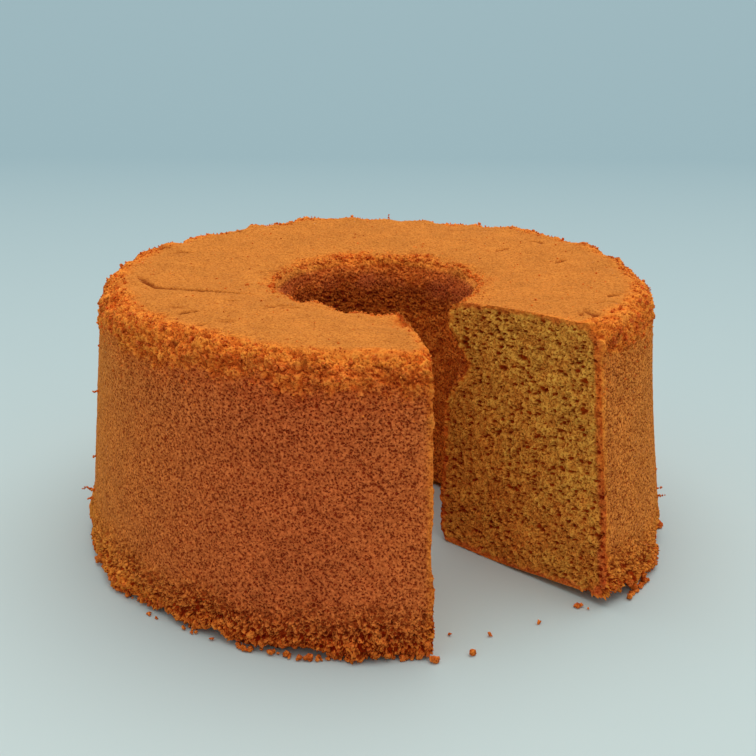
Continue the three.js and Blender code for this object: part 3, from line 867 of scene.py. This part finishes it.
# %% [markdown]
# ## Loose crumbs
# Crumbs are small torn clumps, no two alike. Instances would be lighter, but every crumb should
# have its own form and the exported model needs real faces. So each is a small ball of triangles
# pushed about by noise, and all of one kind are joined as one mesh.

# %% One crumb's ball
def ball(subdivisions):
    form = bmesh.new()
    bmesh.ops.create_icosphere(form, subdivisions=subdivisions, radius=1)
    points = np.array([v.co[:] for v in form.verts])
    faces = np.array([[v.index for v in f.verts] for f in form.faces])
    form.free()
    return points, faces


def crumb_mesh(name, centres, sizes, seed, paleness, subdivisions=2):
    """Crumbs of the given sizes across, in mm, at the given centres."""
    random = np.random.default_rng(seed)
    points, faces = ball(subdivisions)
    many = len(centres)
    frames = np.linalg.qr(random.normal(size=(many, 3, 3)))[0]
    stretch = random.uniform(0.5, 1.2, (many, 1, 3))
    offset = random.uniform(0, 400, (many, 1, 3))
    form = points[None] * stretch
    sample = (form + offset).reshape(-1, 3)
    knobs = 0.5 * lumps(*sample.T, 0.8, 51) + 0.4 * lumps(*sample.T, 0.4, 52)
    form = form * (1 + knobs.reshape(many, -1, 1))
    place = np.einsum("nij,nkj->nki", frames, form) * (sizes / 2)[:, None, None] + centres[:, None]
    facing = np.einsum("nij,nkj->nki", frames, np.broadcast_to(points, form.shape))
    place[..., 2] = np.maximum(place[..., 2], 0)
    each = np.ones((many, len(points)))
    pale = paleness[:, None] * each
    # Here clump sets only the painted light and shade of the crumbs, as their pores are not sunk.
    amounts = dict(fine=0.25 * each, middle=0.1 * each, coarse=0 * each, clump=0.9 * each,
                   strand=0.1 * each, pale=pale, painted_shade=0 * each, browning=each)
    all_faces = (faces[None] + len(points) * np.arange(many)[:, None, None]).reshape(-1, 3)
    uv = np.tile(points[:, :2] / 2 + 0.5, (many, 1))
    return mesh_piece(name, place.reshape(-1, 3), facing.reshape(-1, 3),
                      {key: values.ravel() for key, values in amounts.items()}, all_faces, uv)


# %% [markdown]
# ## Crumbs on the cake and beside it
# Most crumbs cling where the skin broke: along the shoulder, on the rim of the hole and round the
# foot. They are drawn from the skin's own points, more often where it crumbles more. A few fell
# off and lie round the foot and in the space of the missing slice.

# %% Crumbs that cling
def clinging(name, side, between, many, smallest, largest, seed, paleness, subdivisions, leaning=2.5):
    random = np.random.default_rng(seed)
    here = (row_side[row] == side) & (height > between[0]) & (height < between[1])
    inside = (share > 0.002) & (share < 0.998)
    weight = np.where(here & inside, skin["clump"] ** leaning * radius / counts[row], 0)
    weight = weight / closeness(height) if side in ("outer", "hole") else weight
    chosen = random.choice(len(weight), many, replace=False, p=weight / weight.sum())
    sizes = smallest + (largest - smallest) * random.beta(1.2, 3.2, many)
    raised = 0.5 * skin["clump"][chosen] * random.uniform(-0.4, 0.8, many)
    centres = skin_place[chosen] + skin_facing[chosen] * (0.05 * sizes + raised)[:, None]
    pale = np.clip(paleness + random.normal(0, 0.18, many), 0, 1)
    return crumb_mesh(name, centres, sizes, seed, pale, subdivisions)


crumb_pieces = [
    clinging("shoulder_crumbs", "outer", (60, 90), 260, 0.9, 1.9, 1, 0.5, 2),
    clinging("shoulder_grit", "outer", (60, 90), 1800, 0.4, 1.1, 5, 0.65, 1, 1.8),
    clinging("edge_crumbs", "top", (60, 90), 110, 0.8, 1.6, 2, 0.7, 2),
    clinging("edge_grit", "top", (60, 90), 1000, 0.4, 1.0, 6, 0.8, 1, 1.8),
    clinging("rim_crumbs", "top", (73, 75.4), 460, 0.5, 1.7, 7, 0.8, 1, 0.0),
    clinging("foot_crumbs", "outer", (0, 6), 320, 1.0, 3.0, 3, 0.55, 2),
    clinging("foot_grit", "outer", (0, 10), 1200, 0.5, 1.4, 8, 0.55, 1),
]

# %% Crumbs that fell
FALLEN = [  # centre in degrees from -Y towards +X, spread in degrees, radius and its spread, number
    (-62.5, 1.6, 87.0, 0.9, 12), (-53.5, 2.6, 87.8, 0.9, 22), (-42.4, 0.7, 89.3, 0.5, 5),
    (-30.5, 2.5, 88.6, 1.0, 6), (-22, 0.9, 89.2, 0.8, 11), (-17.5, 2.0, 88.2, 1.0, 7),
    (-12.5, 1.4, 88.3, 0.9, 12), (-8.5, 1.2, 88.8, 0.8, 4), (-4.2, 1.2, 87.8, 0.9, 12),
    (5.4, 0.8, 87.2, 0.8, 9), (9.4, 0.3, 88.6, 1.2, 4), (24, 7, 78, 5, 3), (43, 1.2, 82, 4, 4),
    (53.5, 1.5, 88.8, 1.0, 10), (57, 2.0, 89.0, 1.0, 10), (64.6, 1.5, 88.2, 0.9, 8),
    (150, 60, 88.2, 1.0, 16), (-120, 25, 88.2, 1.0, 12),
]


def fallen():
    random = np.random.default_rng(4)
    spots = [
        (degrees + spread * random.normal(), r + wide * random.uniform(-1, 1))
        for degrees, spread, r, wide, many in FALLEN
        for _ in range(many)
    ]
    degrees, r = np.array(spots).T
    sizes = 0.6 + 2.0 * random.beta(1.3, 3, len(spots))
    centres = turned(r, np.radians(degrees), sizes * 0.36)
    return crumb_mesh("fallen_crumbs", centres, sizes, 4, random.uniform(0.35, 0.9, len(spots)))


# %% Torn threads that stand off the skin
THREADS = [  # degrees, height on the outer wall, how far it stands off in mm
    (-75.4, 17.0, 3.4), (-76.0, 13.5, 1.6), (-75.6, 27.0, 0.9), (-75.2, 48.0, 1.2), (75.4, 15.5, 2.4),
    (76.2, 18.0, 1.3), (75.2, 24.0, 0.8), (177.0, 77.0, 2.6), (163.0, 77.0, 1.3), (196.0, 77.0, 1.4),
]
THREAD_STEP, THREAD_WANDER = 0.3, 0.16  # mm from one crumb of a thread to the next; how far it strays
THREAD_ROOT, THREAD_TIP = 1.3, 0.6  # mm across its first and last crumb


def threads():
    """Each is a short chain of crumbs that wanders away from the skin, with a gap at a long step."""
    random = np.random.default_rng(9)
    on_wall = np.flatnonzero(row_side[row] == "outer")
    centres, sizes = [], []
    for degrees, up, far in THREADS:
        turned_by = np.abs(angle[on_wall] - math.radians(degrees) % (2 * math.pi))
        root = on_wall[np.argmin(np.abs(height[on_wall] - up) + 80 * turned_by)]
        links = int(far / THREAD_STEP) + 1
        wander = np.cumsum(random.normal(0, THREAD_WANDER, (links, 3)), 0)
        centres.append(skin_place[root] + skin_facing[root] * np.linspace(0, far, links)[:, None] + wander)
        sizes.append(np.linspace(THREAD_ROOT, THREAD_TIP, links))
    centres, sizes = np.concatenate(centres), np.concatenate(sizes)
    return crumb_mesh("torn_threads", centres, sizes, 9, np.full(len(sizes), 0.7), 1)


crumb_pieces += [fallen(), threads()]
for piece in crumb_pieces:
    piece.data.materials.append(sponge)

# %% [markdown]
# ## The floor and the light
# The photograph was lit softly from all round and most from above: the top is more than twice as
# light as the wall, and no shadow has a hard edge. A large sun with a very soft edge gives the
# light from above and the plain sky round it the rest. The floor is a pale sheet, with painted
# shade that makes it darker and bluer towards the back.

# %% Floor
# Painted shade: the floor is darker and bluer further back, as the light falls off.
FLOOR_NEAR, FLOOR_FAR = linear("#D1DEDA"), linear("#9CB6BC")
bpy.ops.mesh.primitive_plane_add(size=40, location=(0, 0, -0.0002))
floor = bpy.context.object
floor.name = "floor"
paper = bpy.data.materials.new("pale_background_paper")
paper.use_nodes = True
paper_tree = paper.node_tree
paper_tree.nodes["Principled BSDF"].inputs["Roughness"].default_value = 0.8
floor_place = add(paper_tree, "ShaderNodeTexCoord")
across_floor = add(paper_tree, "ShaderNodeSeparateXYZ", {0: floor_place.outputs["Object"]})
how_far = add(paper_tree, "ShaderNodeMapRange", {
    "Value": across_floor.outputs[1], "From Min": -0.15, "From Max": 0.7,
})
floor_shade = add(paper_tree, "ShaderNodeMix", {0: how_far.outputs["Result"], 6: FLOOR_NEAR, 7: FLOOR_FAR},
                  data_type="RGBA")
paper_tree.links.new(floor_shade.outputs[2], paper_tree.nodes["Principled BSDF"].inputs["Base Color"])
floor.data.materials.append(paper)

# %% Light
SKY_COLOUR, SKY_STRENGTH = linear("#DDE8EC"), 0.62


def soft_sun(name, strength, width, down, turn):
    """A sun so many degrees wide, shining down at an angle and turned about the upright."""
    light = bpy.data.lights.new(name, "SUN")
    light.energy, light.angle = strength, math.radians(width)
    lamp = bpy.data.objects.new(name, light)
    lamp.rotation_euler = (math.radians(90 - down), 0, math.radians(turn))
    bpy.context.collection.objects.link(lamp)
    return lamp


world = bpy.data.worlds.new("studio")
bpy.context.scene.world = world
world.use_nodes = True
world.node_tree.nodes["Background"].inputs["Color"].default_value = SKY_COLOUR
world.node_tree.nodes["Background"].inputs["Strength"].default_value = SKY_STRENGTH
soft_sun("overhead_softbox", 1.5, 70, 78, 150)
print("lit from above and all round")

# %% [markdown]
# ## Tie the pieces to the model
# The cake is one body, so every piece rides on it. The skin and the cut faces stand for the
# solid cake; the crumbs are extra.

# %% Ride and replace
for piece in pieces + crumb_pieces:
    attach(piece, "root")
for piece in pieces:
    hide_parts("chiffon_cake")
